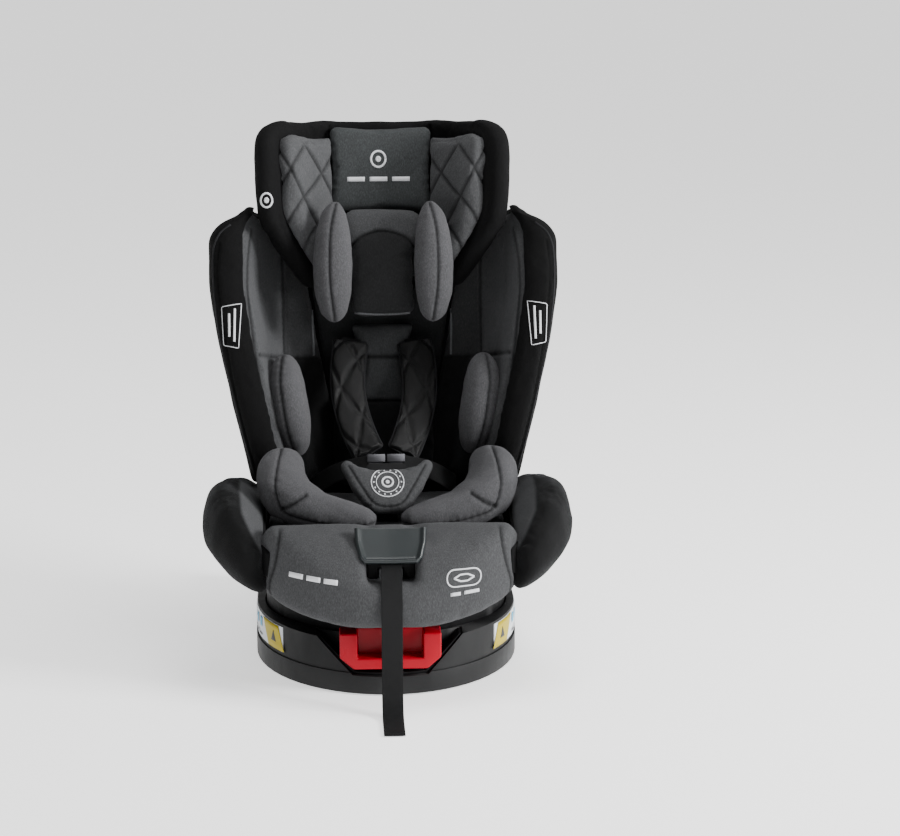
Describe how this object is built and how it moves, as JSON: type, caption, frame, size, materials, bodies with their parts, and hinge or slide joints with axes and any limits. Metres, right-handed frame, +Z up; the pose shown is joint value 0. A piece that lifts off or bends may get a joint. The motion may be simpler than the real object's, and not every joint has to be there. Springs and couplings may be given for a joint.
{
  "type": "convertible car seat",
  "caption": "Rotating convertible child car seat with isofix base, reclining bucket, height adjustable winged headrest, five-point harness and newborn insert",
  "frame": {"origin": "on the floor under the seat, where the turning axis meets the floor plane", "axes": "+Z up along the turning axis, -Y is the way the seated child faces, +X is on the right of someone looking at the seat from its front"},
  "size_m": [0.434, 0.615, 0.6499],
  "materials": {
    "base_plastic": "fine textured injection moulded plastic",
    "black_plastic": "smooth matt black moulded plastic",
    "rubber": "matt rubber",
    "steel": "zinc plated steel",
    "bearing": "acetal",
    "label": "printed adhesive film",
    "red_plastic": "glossy crimson moulded plastic",
    "connector": "grey moulded plastic",
    "green_plastic": "green moulded plastic",
    "charcoal_fabric": "fine heather knit",
    "dark_fabric": "fine heather knit, darker",
    "light_fabric": "soft heather knit over wadding",
    "black_fabric": "black polyester knit",
    "quilt": "diamond quilted knit",
    "black_quilt": "black quilted polyester",
    "webbing": "woven polyester webbing",
    "silver_plastic": "silver lacquered plastic",
    "leatherette": "soft grained leatherette"
  },
  "bodies": {
    "base": {"base_shell": "base_plastic", "base_bottom_plate": "black_plastic", "base_feet": "rubber", "base_screws": "steel", "bearing_ring": "bearing", "hub_ring": "black_plastic", "side_labels": "label", "handle_bezel": "black_plastic", "isofix_guides": "steel"},
    "handle": {"release_handle": "red_plastic", "lock_bolt": "steel"},
    "isofix_left": {"isofix_arm_left": "steel", "isofix_head_left": "connector"},
    "isofix_right": {"isofix_arm_right": "steel", "isofix_head_right": "connector"},
    "isofix_key_left": {"isofix_button_left": "green_plastic"},
    "isofix_key_right": {"isofix_button_right": "green_plastic"},
    "turntable": {"turntable": "black_plastic", "recline_rails": "steel"},
    "seat": {"seat_pan": "black_plastic", "back_shell": "black_plastic", "seat_cushion": "charcoal_fabric", "seat_wing_left": "black_fabric", "seat_wing_right": "black_fabric", "back_pad": "dark_fabric", "back_wing_left": "black_fabric", "back_wing_right": "black_fabric", "wing_pad_left": "charcoal_fabric", "wing_pad_right": "charcoal_fabric", "belt_guide_left": "red_plastic", "belt_guide_right": "red_plastic", "sip_plate_left": "silver_plastic", "sip_plate_right": "silver_plastic", "insert_back_pad": "dark_fabric", "torso_bolster_left": "light_fabric", "torso_bolster_right": "light_fabric", "hip_bolster_left": "light_fabric", "hip_bolster_right": "light_fabric", "crotch_pad": "charcoal_fabric", "crotch_strap": "webbing", "buckle_body": "black_plastic", "buckle_tongues": "steel", "shoulder_straps": "webbing", "shoulder_pad_left": "black_quilt", "shoulder_pad_right": "black_quilt", "lap_straps": "webbing", "adjuster_housing": "black_plastic", "adjuster_cover": "leatherette", "adjuster_strap": "webbing"},
    "buckle_key": {"buckle_button": "red_plastic"},
    "adjuster_key": {"adjuster_button": "connector"},
    "pod_left": {"sip_pod_left": "silver_plastic"},
    "pod_right": {"sip_pod_right": "silver_plastic"},
    "headrest": {"headrest_shell": "black_fabric", "headrest_pad": "dark_fabric", "headrest_wing_left": "quilt", "headrest_wing_right": "quilt", "head_pillow": "dark_fabric", "pillow_cushions": "light_fabric"},
    "headrest_key": {"headrest_lever": "black_plastic"}
  },
  "joints": [
    {"name": "base_turn", "type": "hinge", "parent": "base", "child": "turntable", "pos_m": [0, 0, 0], "axis": [0, 0, 1], "continuous": true, "deforming": ["adjuster_strap"]},
    {"name": "seat_recline", "type": "hinge", "parent": "turntable", "child": "seat", "pos_m": [0, 0.02, 0.48], "axis": [-1, 0, 0], "range_deg": [0, 16]},
    {"name": "headrest_height", "type": "slide", "parent": "seat", "child": "headrest", "axis": [0, 0.2419, 0.9703], "range_m": [0, 0.16]},
    {"name": "headrest_release", "type": "slide", "parent": "headrest", "child": "headrest_key", "axis": [0, 0.2419, 0.9703], "range_m": [0, 0.006], "stiffness_N_per_m": 400},
    {"name": "handle_pull", "type": "slide", "parent": "base", "child": "handle", "axis": [0, -1, 0], "range_m": [0, 0.012], "stiffness_N_per_m": 600},
    {"name": "isofix_reach_left", "type": "slide", "parent": "base", "child": "isofix_left", "axis": [0, -1, 0], "range_m": [0, 0.08]},
    {"name": "isofix_reach_right", "type": "slide", "parent": "base", "child": "isofix_right", "axis": [0, -1, 0], "range_m": [0, 0.08]},
    {"name": "isofix_press_left", "type": "slide", "parent": "isofix_left", "child": "isofix_key_left", "axis": [0, 0, -1], "range_m": [0, 0.003], "stiffness_N_per_m": 500},
    {"name": "isofix_press_right", "type": "slide", "parent": "isofix_right", "child": "isofix_key_right", "axis": [0, 0, -1], "range_m": [0, 0.003], "stiffness_N_per_m": 500},
    {"name": "buckle_press", "type": "slide", "parent": "seat", "child": "buckle_key", "axis": [0, 0.7547, -0.6561], "range_m": [0, 0.004], "stiffness_N_per_m": 800},
    {"name": "adjuster_press", "type": "slide", "parent": "seat", "child": "adjuster_key", "axis": [0, 1, 0], "range_m": [0, 0.005], "stiffness_N_per_m": 500},
    {"name": "pod_slide_left", "type": "slide", "parent": "seat", "child": "pod_left", "axis": [0.8829, -0.4555, 0.1136], "range_m": [0, 0.0045]},
    {"name": "pod_slide_right", "type": "slide", "parent": "seat", "child": "pod_right", "axis": [-0.8829, -0.4555, 0.1136], "range_m": [0, 0.0045]}
  ],
  "couplings": [
    {"joint": "isofix_reach_right", "follows": "isofix_reach_left", "ratio": 1}
  ]
}
